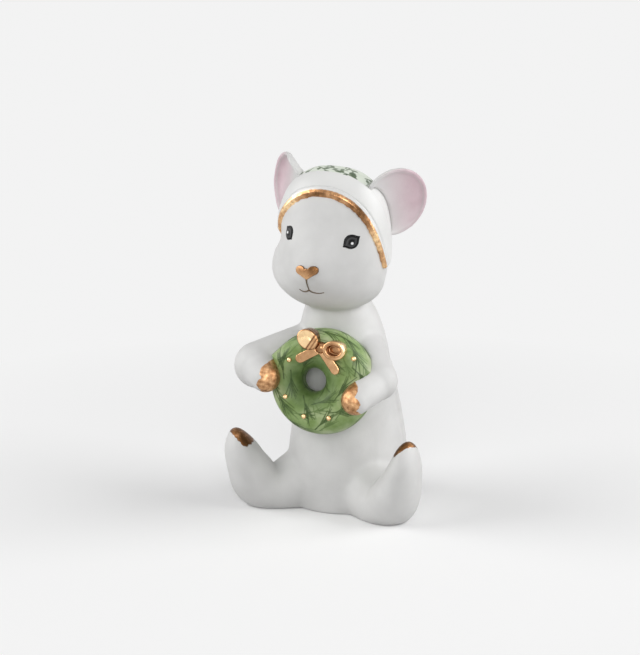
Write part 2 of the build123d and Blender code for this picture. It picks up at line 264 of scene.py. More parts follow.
def spread(tree, factor, from_low, from_high, to_low, to_high):
    span = tree.nodes.new("ShaderNodeMapRange")
    limits = {"From Min": from_low, "From Max": from_high, "To Min": to_low, "To Max": to_high}
    for name, value in limits.items():
        span.inputs[name].default_value = value
    tree.links.new(factor, span.inputs["Value"])
    return span.outputs["Result"]


def mix_colours(tree, factor, first, second):
    mix = tree.nodes.new("ShaderNodeMix")
    mix.data_type = "RGBA"
    tree.links.new(factor, mix.inputs[mix_factor])
    tree.links.new(first, mix.inputs[mix_first])
    tree.links.new(second, mix.inputs[mix_second])
    return mix.outputs[mix_result]


# Sockets of a mix of colours; its other sockets, for numbers and vectors, have the same names
mix_factor = 0
mix_first = 6
mix_second = 7
mix_result = 2


def combine(tree, first, second, operation):
    result = tree.nodes.new("ShaderNodeMath")
    result.operation = operation
    tree.links.new(first, result.inputs[0])
    tree.links.new(second, result.inputs[1])
    return result.outputs["Value"]


def attribute(tree, name):
    reader = tree.nodes.new("ShaderNodeAttribute")
    reader.attribute_name = name
    return reader.outputs["Fac"]


def grain(tree, shader, per_metre, strength, depth):
    bump = tree.nodes.new("ShaderNodeBump")
    bump.inputs["Strength"].default_value = strength
    bump.inputs["Distance"].default_value = depth
    tree.links.new(noise(tree, per_metre), bump.inputs["Height"])
    tree.links.new(bump.outputs["Normal"], shader.inputs["Normal"])


def mottled(tree, per_metre, shade, light):
    """Colour that wanders between two tones, in patches of so many to the metre."""
    return ramp(tree, noise(tree, per_metre), (noise_low, shade), (noise_high, light))


def dulled(tree, shader, per_metre, smooth, rough):
    """Gloss that wanders between two levels."""
    roughness = spread(tree, noise(tree, per_metre), noise_low, noise_high, smooth, rough)
    tree.links.new(roughness, shader.inputs["Roughness"])


def bisque_colour(tree):
    return mottled(tree, *bisque_tones)


def glaze_colour(tree):
    return mottled(tree, *glaze_tones)


def gold_colour(tree, per_metre, mottle):
    """Lustre from bronze to pale gold, as set by the sheen, which holds painted highlight and painted shade,
    and mottled by the brush.
    """
    brushed = spread(tree, noise(tree, per_metre, brush_detail), *brush_range, -mottle, mottle)
    tone = combine(tree, attribute(tree, "sheen"), brushed, "ADD")
    return ramp(tree, tone, *gold_tones)


# Where a noise is at its low and high ends
noise_low = 0.3
noise_high = 0.7
brush_detail = 4.0
brush_range = (0.25, 0.75)

# Patches to the metre, and the darker and the lighter tone
bisque_tones = (130.0, (0.59, 0.587, 0.578), (0.675, 0.672, 0.663))
glaze_tones = (160.0, (0.68, 0.68, 0.67), (0.72, 0.72, 0.71))
crown_tones = (300.0, (0.60, 0.66, 0.55), (0.70, 0.74, 0.66))
leaf_tones = (1500.0, (0.035, 0.065, 0.028), (0.11, 0.16, 0.08))
blush_tones = (350.0, (0.58, 0.42, 0.465), (0.66, 0.50, 0.545))
hollow_shade_tones = (500.0, (0.085, 0.15, 0.038), (0.165, 0.25, 0.085))
pale_tones = (500.0, (0.36, 0.42, 0.245), (0.49, 0.53, 0.36))
middle_needle_tones = (900.0, (0.09, 0.15, 0.042), (0.15, 0.23, 0.075))
dark_needle_tones = (900.0, (0.035, 0.068, 0.016), (0.08, 0.13, 0.036))
glint_tones = (3000.0, (0.80, 0.80, 0.80), (0.9, 0.9, 0.9))
mouth_tones = (1500.0, (0.08, 0.055, 0.032), (0.17, 0.12, 0.075))

# Tones along a scale from 0 to 1
gold_tones = ((0.0, (0.14, 0.065, 0.025)), (0.4, (0.42, 0.22, 0.105)),
              (0.7, (0.66, 0.39, 0.20)), (1.0, (1.0, 0.72, 0.40)))
wash_tones = ((0.34, (0.185, 0.280, 0.083)), (0.5, (0.265, 0.370, 0.145)), (0.66, (0.40, 0.48, 0.26)))
wash_patches = 260.0
eye_rings = ((0.30, (0.004, 0.004, 0.004)), (0.40, (0.032, 0.032, 0.033)),
             (0.58, (0.058, 0.058, 0.06)), (0.70, (0.004, 0.004, 0.004)))

# Patches to the metre, and the least and most roughness
bisque_gloss = (400.0, 0.5, 0.62)
gold_gloss = (700.0, 0.16, 0.3)
glaze_gloss = (500.0, 0.36, 0.46)
wreath_gloss = (600.0, 0.34, 0.5)
glaze_coat = {"Coat_Weight": 0.1, "Coat_Roughness": 0.25}

# Grains to the metre, strength, and depth in metres
bisque_grain = (2600.0, 0.08, 0.0002)
gold_grain = (900.0, 0.1, 0.0003)
glaze_grain = (500.0, 0.05, 0.0003)
wreath_grain = (700.0, 0.12, 0.0003)

# Brushed gold patches and waves of its edge to the metre, and the edge's softness in millimetres
paw_gold_patches = 1100.0
bow_gold = (600.0, 0.16)
gilt_waves = 1200.0
gilt_edge = 0.08
blush_patches = 250.0
blush_thinnest = 0.8


def bisque_material():
    material, tree, shader = new_material("matte_bisque")
    tree.links.new(bisque_colour(tree), shader.inputs["Base Color"])
    dulled(tree, shader, *bisque_gloss)
    grain(tree, shader, *bisque_grain)
    return material


def gilded_material(name, ground, ground_roughness, gold_roughness, ragged, mottle):
    """A ground with mottled gold wherever the painted edge is passed."""
    material, tree, shader = new_material(name)
    wavy = spread(tree, noise(tree, gilt_waves), 0.0, 1.0, -ragged, ragged)
    edge = combine(tree, attribute(tree, "gilt"), wavy, "ADD")
    mask = spread(tree, edge, -gilt_edge, gilt_edge, 0.0, 1.0)
    colour = mix_colours(tree, mask, ground(tree), gold_colour(tree, paw_gold_patches, mottle))
    roughness = spread(tree, mask, 0.0, 1.0, ground_roughness, gold_roughness)
    tree.links.new(colour, shader.inputs["Base Color"])
    tree.links.new(mask, shader.inputs["Metallic"])
    tree.links.new(roughness, shader.inputs["Roughness"])
    grain(tree, shader, *bisque_grain)
    return material


def gold_material():
    material, tree, shader = new_material("gold_lustre", Metallic=1.0)
    tree.links.new(gold_colour(tree, *bow_gold), shader.inputs["Base Color"])
    dulled(tree, shader, *gold_gloss)
    grain(tree, shader, *gold_grain)
    return material


def glaze_material():
    material, tree, shader = new_material("white_glaze", **glaze_coat)
    tree.links.new(glaze_colour(tree), shader.inputs["Base Color"])
    dulled(tree, shader, *glaze_gloss)
    grain(tree, shader, *glaze_grain)
    return material


def crown_material():
    """Pale green glaze with painted green sprigs, left white in the gap between band and ear."""
    material, tree, shader = new_material("sprigged_glaze", **glaze_coat)
    ground = mix_colours(tree, attribute(tree, "bare"), mottled(tree, *crown_tones), glaze_colour(tree))
    sprigged = mix_colours(tree, attribute(tree, "stroke"), ground, mottled(tree, *leaf_tones))
    tree.links.new(sprigged, shader.inputs["Base Color"])
    dulled(tree, shader, *glaze_gloss)
    grain(tree, shader, *glaze_grain)
    return material


def ear_material():
    """Matte bisque, with a pink blush inside the cup."""
    material, tree, shader = new_material("blushed_bisque")
    rubbed = spread(tree, noise(tree, blush_patches), noise_low, noise_high, blush_thinnest, 1.0)
    blush = combine(tree, attribute(tree, "blush"), rubbed, "MULTIPLY")
    blushed = mix_colours(tree, blush, bisque_colour(tree), mottled(tree, *blush_tones))
    tree.links.new(blushed, shader.inputs["Base Color"])
    dulled(tree, shader, *bisque_gloss)
    grain(tree, shader, *bisque_grain)
    return material


def wreath_material():
    """Mottled green wash, with painted shade deepening it round the hole, pale at one rim, and with needle
    strokes.
    """
    material, tree, shader = new_material("needle_green", Specular_IOR_Level=0.3)
    colour = ramp(tree, noise(tree, wash_patches, brush_detail), *wash_tones)
    for layer, tones in (("pale", pale_tones), ("hollow_shade", hollow_shade_tones),
                         ("middle_stroke", middle_needle_tones), ("stroke", dark_needle_tones)):
        colour = mix_colours(tree, attribute(tree, layer), colour, mottled(tree, *tones))
    tree.links.new(colour, shader.inputs["Base Color"])
    dulled(tree, shader, *wreath_gloss)
    grain(tree, shader, *wreath_grain)
    return material


def eye_material():
    """Black enamel with a dark grey ring and a white dot of light."""
    material, tree, shader = new_material("eye_enamel", Roughness=0.35, Specular_IOR_Level=0.15)
    rings = ramp(tree, attribute(tree, "ring"), *eye_rings)
    painted = mix_colours(tree, attribute(tree, "glint"), rings, mottled(tree, *glint_tones))
    tree.links.new(painted, shader.inputs["Base Color"])
    return material


def mouth_material():
    material, tree, shader = new_material("brown_line", Roughness=0.45)
    tree.links.new(mottled(tree, *mouth_tones), shader.inputs["Base Color"])
    return material


bisque = bisque_material()
gilded_bisque = gilded_material("gilded_bisque", bisque_colour, ground_roughness=0.56, gold_roughness=0.44,
                                ragged=0.35, mottle=0.38)
gilded_glaze = gilded_material("gilded_glaze", glaze_colour, ground_roughness=0.25, gold_roughness=0.24,
                               ragged=0.12, mottle=0.3)
gold = gold_material()
glaze = glaze_material()
crown_glaze = crown_material()
ear_bisque = ear_material()
needle_green = wreath_material()
eye_enamel = eye_material()
brown_line = mouth_material()

skin_nodes = ("torso", "head", "tail", "arm_left", "paw_left", "arm_right", "paw_right",
              "leg_left", "toe_left", "leg_right", "toe_right")
skin_limbs = (0, 1, 2, 3, 3, 4, 4, 5, 5, 6, 6)


def tangent(normal, wanted):
    flat = wanted - normal * (normal @ wanted)
    return flat / max(np.linalg.norm(flat), least_length)


least_length = 1e-6


def gilding(spots):
    """How far each point lies past the painted edge of a paw or toe, and how bright the gold is."""
    past = np.full(len(spots), bare_clay)
    sheen = np.full(len(spots), paw_sheen)
    for side in ("left", "right"):
        away = spots - np.array(paw_middles[side])
        way = np.array(paw_gilt_ways[side])
        along_edge = away @ tangent(way, np.array((0.0, 0.0, 1.0)))
        lobes = paw_lobe * np.abs(np.sin(np.pi * (along_edge - paw_notches[side]) / paw_lobe_length))
        inside = np.linalg.norm(away, axis=1) < paw_zone
        past = np.where(inside, np.maximum(past, away @ way + paw_edge + lobes), past)
        toe = spots - np.array(toe_tips[side])
        width = toe @ np.array(toe_gilt_ways[side]) + toe_gilt_width
        length = (toe @ np.array(toe_ways[side]) + toe_gilt_length) * toe_gilt_slope
        inside = np.linalg.norm(toe, axis=1) < toe_zone
        past = np.where(inside, np.minimum(width, length), past)
        sheen = np.where(inside, toe_shade_sheen, sheen)
    return past, sheen


# Gilt edges, lobes and zones of the paws and toes in millimetres, and their place on the gold's tones
bare_clay = -5.0
paw_lobe = 1.0
paw_lobe_length = 3.2
paw_notches = {"left": 1.6, "right": 0.8}
paw_edge = -0.1
paw_zone = 5.0
paw_sheen = 0.5
toe_gilt_width = 1.4
toe_gilt_length = 3.6
toe_gilt_slope = 0.6
toe_zone = 7.0
# Painted shade: the toes sit low on the gold's tones, dark as gold that reflects darker surroundings
toe_shade_sheen = -0.02


def body_skin():
    """Soft skin over torso, head, tail and limbs, luted together where they meet."""
    copies = [clay_copy(node, node + "_clay") for node in skin_nodes]
    trees = [tree_of(copy) for copy in copies]
    pick(*copies)
    bpy.ops.object.join()
    skin = copies[-1]
    skin.name = "body_skin"
    apply_modifier(skin, "REMESH", mode="VOXEL", voxel_size=skin_voxel, use_smooth_shade=True)
    apart = np.full((len(skin.data.vertices), len(trees)), melt_reach)
    for row, vertex in enumerate(skin.data.vertices):
        for column, tree in enumerate(trees):
            _, _, _, gap = tree.find_nearest(vertex.co, melt_reach)
            if gap is not None:
                apart[row, column] = gap
    limbs = np.array(skin_limbs)
    by_limb = np.stack([apart[:, limbs == limb].min(1) for limb in sorted(set(skin_limbs))], 1)
    second = np.sort(by_limb, 1)[:, 1]
    weights = soft_step(0.0, 1.0, 1 - second / melt_reach)
    group = skin.vertex_groups.new(name="melt")
    for row in np.nonzero(weights > melt_least)[0]:
        group.add([int(row)], float(weights[row]), "REPLACE")
    owner = np.array([apart[list(face.vertices)].sum(0).argmin() for face in skin.data.polygons])
    apply_modifier(skin, "SMOOTH", factor=rub, iterations=melt_passes, vertex_group="melt")
    apply_modifier(skin, "SMOOTH", factor=rub, iterations=rubs["skin"])
    gilt, sheen = gilding(corners(skin) / mm)
    reshape(skin, settled(tapered(dented(corners(skin) / mm))))
    paint(skin, "gilt", gilt)
    paint(skin, "sheen", sheen)
    return skin, owner


def lift_piece(skin, owner, index, name):
    """One closed piece of the skin, shaded as part of the whole."""
    piece = bpy.data.objects.new(name, skin.data.copy())
    bpy.context.scene.collection.objects.link(piece)
    pick(piece)
    bpy.ops.object.mode_set(mode="EDIT")
    bpy.ops.mesh.select_mode(type="FACE")
    bpy.ops.mesh.select_all(action="DESELECT")
    bpy.ops.object.mode_set(mode="OBJECT")
    piece.data.polygons.foreach_set("select", owner != index)
    bpy.ops.object.mode_set(mode="EDIT")
    bpy.ops.mesh.delete(type="FACE")
    bpy.ops.mesh.select_mode(type="EDGE")
    bpy.ops.mesh.select_all(action="DESELECT")
    bpy.ops.mesh.select_non_manifold()
    bpy.ops.mesh.fill_holes(sides=0)
    bpy.ops.mesh.poke(offset=0.0, center_mode="MEDIAN")
    bpy.ops.object.mode_set(mode="OBJECT")
    apply_modifier(piece, "DATA_TRANSFER", object=skin, use_loop_data=True,
                   data_types_loops={"CUSTOM_NORMAL"}, loop_mapping="POLYINTERP_NEAREST")
    return piece


skin, owner = body_skin()
skin_tree = tree_of(skin)
for index, node in enumerate(skin_nodes):
    piece = lift_piece(skin, owner, index, node + "_skin")
    gilded = node.startswith(("arm", "paw", "leg", "toe"))
    finish_piece(piece, node, gilded_bisque if gilded else bisque)
bpy.data.objects.remove(skin)


def stroke_mask(spots, ways, centre, normal, along, strokes, soft):
    """Strength of a sprig's brush strokes at each point, drawn on the plane that touches its centre."""
    across = np.cross(normal, along)
    away = spots - centre
    near = (np.abs(away).max(1) < sprig_reach) & (ways @ normal > sprig_side)
    u = away[near] @ along
    v = away[near] @ across
    strength = np.zeros(near.sum())
    for (u0, v0), (u1, v1), thick_start, thick_end in strokes:
        length_squared = (u1 - u0) ** 2 + (v1 - v0) ** 2
        share = np.clip(((u - u0) * (u1 - u0) + (v - v0) * (v1 - v0)) / length_squared, 0, 1)
        gap = np.hypot(u - u0 - share * (u1 - u0), v - v0 - share * (v1 - v0))
        half = thick_start + (thick_end - thick_start) * share
        strength = np.maximum(strength, np.clip((half - gap) / soft + 0.5, 0, 1))
    return near, strength


# Reach and edge of a sprig in millimetres, and how far the surface may turn off it, as a cosine
sprig_reach = 8.0
sprig_side = 0.2
brush_edge = 0.12


def needle_fan(length, needles, reach, thickness):
    """A short stem with long needles that lie close along it."""
    strokes = [((-length, 0.0), (length / 2, 0.0), thickness, thickness * stem_thinning)]
    for k in range(needles):
        root = -length / 2 + length * (k + needle_start) / needles
        lean = math.radians(random.uniform(*needle_leans)) * (1 if k % 2 else -1)
        size = reach * random.uniform(*needle_sizes)
        tip = (root + size * math.cos(lean), size * math.sin(lean))
        strokes.append(((root, 0.0), tip, thickness, thickness * needle_thinning))
    return strokes


# Needles: degrees off their stem, lengths and end thicknesses as shares, and strokes to a fan
needle_start = 0.3
needle_leans = (8, 28)
needle_sizes = (0.65, 1.1)
needle_thinning = 0.5
stem_thinning = 0.7
needle_counts = (8, 10)
fan_sizes = (0.8, 1.15)
needle_wander = 4.5
# Layer, spacing of its fans, stem, needle and half thickness in millimetres
needle_layers = (("middle_stroke", 3.8, 2.4, 3.2, 0.12), ("stroke", 4.4, 3.0, 3.7, 0.14))


def leaf_sprig(length, leaves, size):
    """A thin stem with plump leaves on either side and one at its tip."""
    end, plump, along = length / 2, size * leaf_plump, size * leaf_length
    strokes = [((-end, 0.0), (end, 0.0), *leaf_stem)]
    for k in range(leaves):
        root = -end + length * (k + leaf_start) / (leaves + leaf_gap)
        side = 1 if k % 2 else -1
        tip = (root + along, side * along)
        middle = (root + size * leaf_belly, side * size * leaf_belly)
        strokes.append(((root, 0.0), middle, leaf_stalk, plump))
        strokes.append((middle, tip, plump, leaf_tip))
    middle = (end + size / 2, 0.0)
    start_plump, end_plump = (size * share for share in top_leaf_plump)
    strokes.append(((end, 0.0), middle, start_plump, end_plump))
    strokes.append((middle, (end + size, 0.0), end_plump, leaf_tip))
    return strokes


# Leaves: half thicknesses in millimetres, places and plumpness as shares of the leaf or stem
leaf_stem = (0.17, 0.13)
leaf_stalk = 0.07
leaf_tip = 0.04
leaf_start = 0.7
leaf_gap = 0.3
leaf_length = 0.75
leaf_belly = 0.4
leaf_plump = 0.3
top_leaf_plump = (0.26, 0.28)
crown_sprig = {"length": 4.2, "leaves": 3, "size": 1.6}
crown_spacing = 2.7


def scattered(spots, spacing):
    """Points picked at random over a surface, none closer than the spacing."""
    order = list(range(len(spots)))
    random.shuffle(order)
    chosen = []
    kept = np.empty((0, 3))
    for k in order:
        if len(kept) == 0 or np.linalg.norm(kept - spots[k], axis=1).min() > spacing:
            chosen.append(k)
            kept = np.vstack((kept, spots[k]))
    return chosen


def wreath_spots(spots):
    """Points in the wreath's own frame: to the mouse's left, up, and out of the wreath's face."""
    return (spots - wreath_middle) @ wreath_turn


def peaked(spots):
    """Rim of the wreath drawn out to a point beside each arm."""
    flat = wreath_spots(spots) * (1, 1, 0)
    reach = np.linalg.norm(flat, axis=1)
    bearing = np.degrees(np.arctan2(flat[:, 1], flat[:, 0]))
    rise = sum(height * np.exp(-np.abs(bearing - place) / peak_spread)
               for place, height in wreath_peaks)
    outward = flat / reach[:, None] * (rise * soft_step(*peak_reach, reach))[:, None]
    return spots + outward @ wreath_turn.T


# Bearing in degrees and height in millimetres of each point, spread in degrees, and reach of its rise
wreath_peaks = ((22.0, 0.6), (162.0, 1.5))
peak_spread = 8.0
peak_reach = (7.0, 11.5)


def wreath_piece():
    wreath = clay_copy("wreath", "needle_wreath")
    refine(wreath, paint_voxel, rubs["wreath"])
    spots = corners(wreath) / mm
    ways = normals(wreath)
    flat = wreath_spots(spots)
    # Painted shade, darkest at the edge of the hole and fading outwards
    from_hole = np.hypot(flat[:, 0] + hole_aside, flat[:, 1])
    paint(wreath, "hollow_shade", soft_step(hollow_shade_reach, hole_edge, from_hole))
    from_pale = np.linalg.norm((flat[:, :2] - np.array(pale_place)) / np.array(pale_reach), axis=1)
    paint(wreath, "pale", soft_step(*pale_fade, from_pale))
    facing = wreath_turn[:, 2]
    for name, spacing, stem, needle, thickness in needle_layers:
        mask = np.zeros(len(spots))
        for k in scattered(spots, spacing):
            round_way = np.cross(facing, spots[k] - wreath_middle) * (1 if flat[k, 1] < 0 else -1)
            wander = np.array([random.uniform(-needle_wander, needle_wander) for _ in "xyz"])
            count = random.randint(*needle_counts)
            strokes = needle_fan(stem, count, needle * random.uniform(*fan_sizes), thickness)
            along = tangent(ways[k], round_way + wander)
            near, strength = stroke_mask(spots, ways, spots[k], ways[k], along, strokes, brush_edge)
            mask[near] = np.maximum(mask[near], strength)
        paint(wreath, name, mask)
    reshape(wreath, peaked(spots))
    finish_piece(wreath, "wreath", needle_green)


# Painted shade round the wreath's hole and its pale rim, in millimetres of its own frame; the fade is a share
hole_aside = 1.8
hole_edge = 4.4
hollow_shade_reach = 8.2
pale_place = (12.5, 2.5)
pale_reach = (5.0, 7.0)
pale_fade = (1.0, 0.3)


def crown_piece():
    crown = clay_copy("hat_crown", "sprigged_crown")
    refine(crown, paint_voxel, rubs["crown"])
    spots = corners(crown) / mm
    ways = normals(crown)
    bare = soft_step(*bare_top, spots[:, 2])
    for node in ("ear_left", "hat_band"):
        bare *= soft_step(*bare_reach, gaps_to(tree_of(nodes[node]), crown))
    mask = np.zeros(len(spots))
    sprig = leaf_sprig(**crown_sprig)
    for k in scattered(spots, crown_spacing):
        along = tangent(ways[k], np.array([random.uniform(-1, 1) for _ in "xyz"]))
        near, strength = stroke_mask(spots, ways, spots[k], ways[k], along, sprig, brush_edge)
        mask[near] = np.maximum(mask[near], strength)
    reshape(crown, spots + ways * (bare * slip_fill)[:, None])
    paint(crown, "bare", bare)
    paint(crown, "stroke", mask * (1 - bare))
    finish_piece(crown, "hat_crown", crown_glaze)


# Slip beside the left ear: thickness, fading height and reach, in millimetres
slip_fill = 0.45
bare_top = (78.5, 76.0)
bare_reach = (5.0, 4.2)


def ear_piece(side):
    """Shell-shaped ear, filled or folded forward, rubbed soft, and blushed towards its outer rim."""
    ear = clay_copy("ear_" + side, "blushed_ear_" + side)
    refine(ear, trim_voxel, rubs["ear"])
    facing = np.array(ear_faces[side])
    spots = corners(ear) / mm
    away = spots - np.array(ear_middles[side])
    inside = soft_step(*ear_inside, normals(ear) @ facing)
    filled = np.clip(-(away @ facing), 0, None) * inside * ear_fill[side]
    ahead = away @ tangent(facing, straight_ahead) / ear_radius
    off_hat = np.minimum(*(gaps_to(tree, ear) for tree in hat_trees))
    bend = np.clip((ahead + ear_fold_start) / (1 + ear_fold_start), 0, ear_fold_most) ** 2
    folded = ear_folds[side] * bend * soft_step(0.0, ear_free, off_hat)
    reshape(ear, spots + facing * (filled + folded)[:, None])
    apply_modifier(ear, "SMOOTH", factor=rub, iterations=ear_rubs_after)
    outward = tangent(facing, np.array(ear_middles[side] - head_middle) * ear_outward)
    fade = soft_step(*ear_blush[side], (away @ outward) / ear_radius)
    paint(ear, "blush", inside * fade)
    finish_piece(ear, "ear_" + side, ear_bisque)


hat_trees = [tree_of(nodes[node]) for node in ("hat_crown", "hat_band")]
straight_ahead = np.array((0.0, -1.0, 0.0))
# Folds and the free height in millimetres, blush and fold start as shares of the ear's radius
ear_outward = (1, 1, 0.15)
ear_inside = (0.0, 0.5)
ear_fold_start = 0.3
ear_fold_most = 1.2
ear_free = 6.0
ear_fill = {"left": 0.6, "right": 0.0}
ear_folds = {"left": 0.0, "right": 4.6}
ear_blush = {"left": (-0.6, 0.75), "right": (-0.2, 0.8)}


def band_piece():
    band = clay_copy("hat_band", "rolled_band")
    refine(band, trim_voxel, rubs["band"])
    reshape(band, tucked(dented(corners(band) / mm)))
    finish_piece(band, "hat_band", glaze)


def gold_piece(node, name, voxel, passes, sheen):
    """Gilded piece with the same sheen all over."""
    piece = clay_copy(node, name)
    refine(piece, voxel, passes)
    paint(piece, "sheen", np.full(len(piece.data.vertices), sheen))
    finish_piece(piece, node, gold)


def gold_edge_piece():
    """Raised line along the brim, white next to the band and gilded below, browner in places."""
    edge = clay_copy("hat_gold_edge", "gilded_edge")
    refine(edge, edge_voxel, rubs["edge"])
    spots = corners(edge) / mm
    from_band = gaps_to(tree_of(nodes["hat_band"]), edge)
    reshape(edge, tucked(dented(spots + normals(edge) * edge_swell)))
    turn = np.arctan2(spots[:, 2] - head_middle.z, spots[:, 0] - head_middle.x)
    paint(edge, "gilt", from_band - edge_white)
    waves = sum(height * np.sin(count * turn + start) for height, count, start in edge_waves)
    paint(edge, "sheen", edge_sheen + waves)
    finish_piece(edge, "hat_gold_edge", gilded_glaze)


# Swell and white strip in millimetres; height, count and start of each wave of the sheen
edge_swell = 0.2
edge_white = 0.6
edge_sheen = 0.56
edge_waves = ((0.28, 3.1, 0.9), (0.22, 9.3, 2.0))


def nose_piece():
    """Gilded heart with painted light: a painted highlight where it faces forward, brighter on the mouse's
    right and towards its tip, and painted shade browning its rim.
    """
    nose = clay_copy("nose", "heart_nose")
    refine(nose, nose_voxel, rubs["nose"])
    spots = corners(nose) / mm
    middle = spots.mean(0)
    level = np.array(turned(("Y", nose_turn)))
    reshape(nose, middle + (spots - middle) * nose_stretch @ level.T + nose_shift)
    across, _, rise = (spots - middle).T
    facing = normals(nose) @ straight_ahead
    # Painted highlight where the gold faces forward, and painted shade growing towards the mouse's left and
    # towards the top
    sheen = nose_front_sheen * soft_step(*nose_front, facing) - nose_shade_slope * (1 + across + rise)
    paint(nose, "sheen", sheen)
    finish_piece(nose, "nose", gold)


# Turn in degrees, stretch along each axis, shift in millimetres, and sheen: painted highlight facing forward,
# painted shade sloping to the left and top
nose_turn = -7.0
nose_stretch = (1.05, 1.0, 0.86)
nose_shift = (0.0, 0.0, -0.2)
nose_front = (0.4, 0.98)
nose_front_sheen = 0.5
nose_shade_slope = 0.12


def loop_piece(side):
    """Ribbon loop: puffed up on the mouse's right, with a painted highlight on its face and painted shade
    near the knot, along its rim and in two fold lines; open and floored on its left, with painted shade on
    the floor and a painted highlight towards the rim's end.
    """
    loop = clay_copy("bow_loop_" + side, "gilded_loop_" + side)
    (x, y), angle = loop_places[side]
    length, width, depth, height = loop_puffs[side]
    bpy.ops.object.select_all(action="DESELECT")
    bpy.ops.mesh.primitive_uv_sphere_add(segments=puff_segments, ring_count=puff_segments // 2, radius=1.0)
    puff = bpy.context.object
    local = corners(puff) * (length, width, depth)
    turn = np.array(turned(("Z", angle)))
    reshape(puff, (local @ turn.T + (x, y, height)) @ wreath_turn.T + wreath_middle)
    pick(puff, loop)
    bpy.ops.object.join()
    refine(loop, fine_voxel, rubs["loop"])
    along, across, _ = ((wreath_spots(corners(loop) / mm) - (x, y, height)) @ turn).T
    share = np.hypot(along / loop_half_length, across / loop_half_width)
    # Painted light on the ribbon: highlight and shade set by where each point lies on the loop
    if side == "right":
        lit = puff_dim + (1 - puff_dim) * soft_step(*puff_lit, along)
        face = soft_step(*puff_face, share) * lit
        fold_shades = sum(depth * np.exp(-((along - place) / fold_shade_width) ** 2) for place, depth in puff_fold_shades)
        sheen = puff_sheen + puff_face_sheen * face - puff_fold_shade * fold_shades
    else:
        rim = soft_step(*rim_face, share)
        sheen = loop_floor_sheen + rim * (rim_sheen + rim_end_sheen * soft_step(*rim_end, along))
    paint(loop, "sheen", sheen)
    finish_piece(loop, "bow_loop_" + side, gold)


# Half length, half width, half depth and height of what fills each loop, in millimetres
loop_puffs = {"left": (2.2, 1.7, 0.9, 4.0), "right": (2.75, 2.3, 1.9, 4.6)}
puff_segments = 64
# Where the bow's sheen, its painted highlight and shade, changes, in millimetres along a loop or as a share
# of it, and by how much
puff_dim = 0.6
puff_lit = (-1.0, -0.6)
puff_face = (1.0, 0.8)
puff_fold_shades = ((-0.95, 1.0), (-1.75, 0.8))
fold_shade_width = 0.17
puff_sheen = 0.25
puff_face_sheen = 0.75
puff_fold_shade = 0.7
rim_face = (0.6, 0.85)
rim_end = (-0.4, 1.9)
loop_floor_sheen = 0.36
rim_sheen = 0.24
rim_end_sheen = 0.32
bow_tail_sheen = 0.62
bow_knot_sheen = 0.33
berry_sheen = 0.9

wreath_piece()
crown_piece()
for side in ("left", "right"):
    ear_piece(side)
    loop_piece(side)
    gold_piece("bow_tail_" + side, "gilded_tail_" + side, fine_voxel, rubs["bow_tail"], bow_tail_sheen)
band_piece()
gold_edge_piece()
nose_piece()
gold_piece("bow_knot", "gilded_knot", fine_voxel, rubs["bow_knot"], bow_knot_sheen)
gold_piece("wreath_berries", "gilded_berries", berry_voxel, rubs["berries"], berry_sheen)


def on_face(local):
    """Point on the face and its outward way, from a place in the head's own frame in millimetres."""
    start = head_middle + head_turn @ Vector((local[0], before_face, local[1]))
    spot, way, _, _ = skin_tree.ray_cast(start * mm, head_turn @ Vector((0, 1, 0)))
    return spot, way


# Places and sizes of the eyes in millimetres, slants in degrees, and spread of a corner in radians
before_face = -30.0
eye_places = {"left": (7.46, 9.18), "right": (-7.28, 8.9)}
eye_half_length = 1.78
eye_half_width = 1.67
eye_narrow = {"left": 1.0, "right": 0.74}
eye_bulge = 0.42
eye_sink = 0.14
eye_corner = 0.66
eye_corner_spread = 0.2
eye_slant = {"left": 33.0, "right": 147.0}
glint_places = {"left": (0.15, -0.35), "right": (-0.36, 0.0)}
glint_radius = 0.3
glint_edge = 0.1
ring_tilt = 0.1
eye_segments = 128


def eye_piece(side):
    """Round lens drawn out to a corner up and out and one down and in, set into the face."""
    spot, way = on_face(eye_places[side])
    bpy.ops.object.select_all(action="DESELECT")
    bpy.ops.mesh.primitive_uv_sphere_add(segments=eye_segments, ring_count=eye_segments // 2, radius=1.0)
    eye = bpy.context.object
    eye.name = "almond_eye_" + side
    bpy.ops.object.shade_smooth()
    unit = corners(eye)
    angle = np.arctan2(unit[:, 1], unit[:, 0])
    flat = np.hypot(unit[:, 0], unit[:, 1])
    slant = angle - math.radians(eye_slant[side])
    along, aside = np.abs(np.cos(slant)), np.abs(np.sin(slant))
    oval = eye_half_length * eye_half_width / np.hypot(eye_half_width * along, eye_half_length * aside)
    reach = flat * (oval + eye_corner * np.exp(-np.arctan2(aside, along) / eye_corner_spread))
    sideways = np.cos(angle) * reach * eye_narrow[side]
    shaped = np.stack((sideways, np.sin(angle) * reach, unit[:, 2] * eye_bulge), 1)
    paint(eye, "ring", flat + ring_tilt * unit[:, 1])
    glint_x, glint_y = glint_places[side]
    from_glint = np.hypot(shaped[:, 0] - glint_x, shaped[:, 1] - glint_y)
    glint = soft_step(glint_radius + glint_edge, glint_radius - glint_edge, from_glint)
    paint(eye, "glint", glint * (unit[:, 2] > 0))
    upward = (head_turn @ Vector((0, 0, 1))).cross(way).cross(way).normalized() * -1
    across = upward.cross(way)
    turn = np.array((across, upward, way)).T
    placed = shaped @ turn.T * mm + np.array(spot - way * eye_sink * mm)
    eye.data.vertices.foreach_set("co", placed.astype(np.float32).ravel())
    eye.data.update()
    finish_piece(eye, "eye_" + side, eye_enamel)


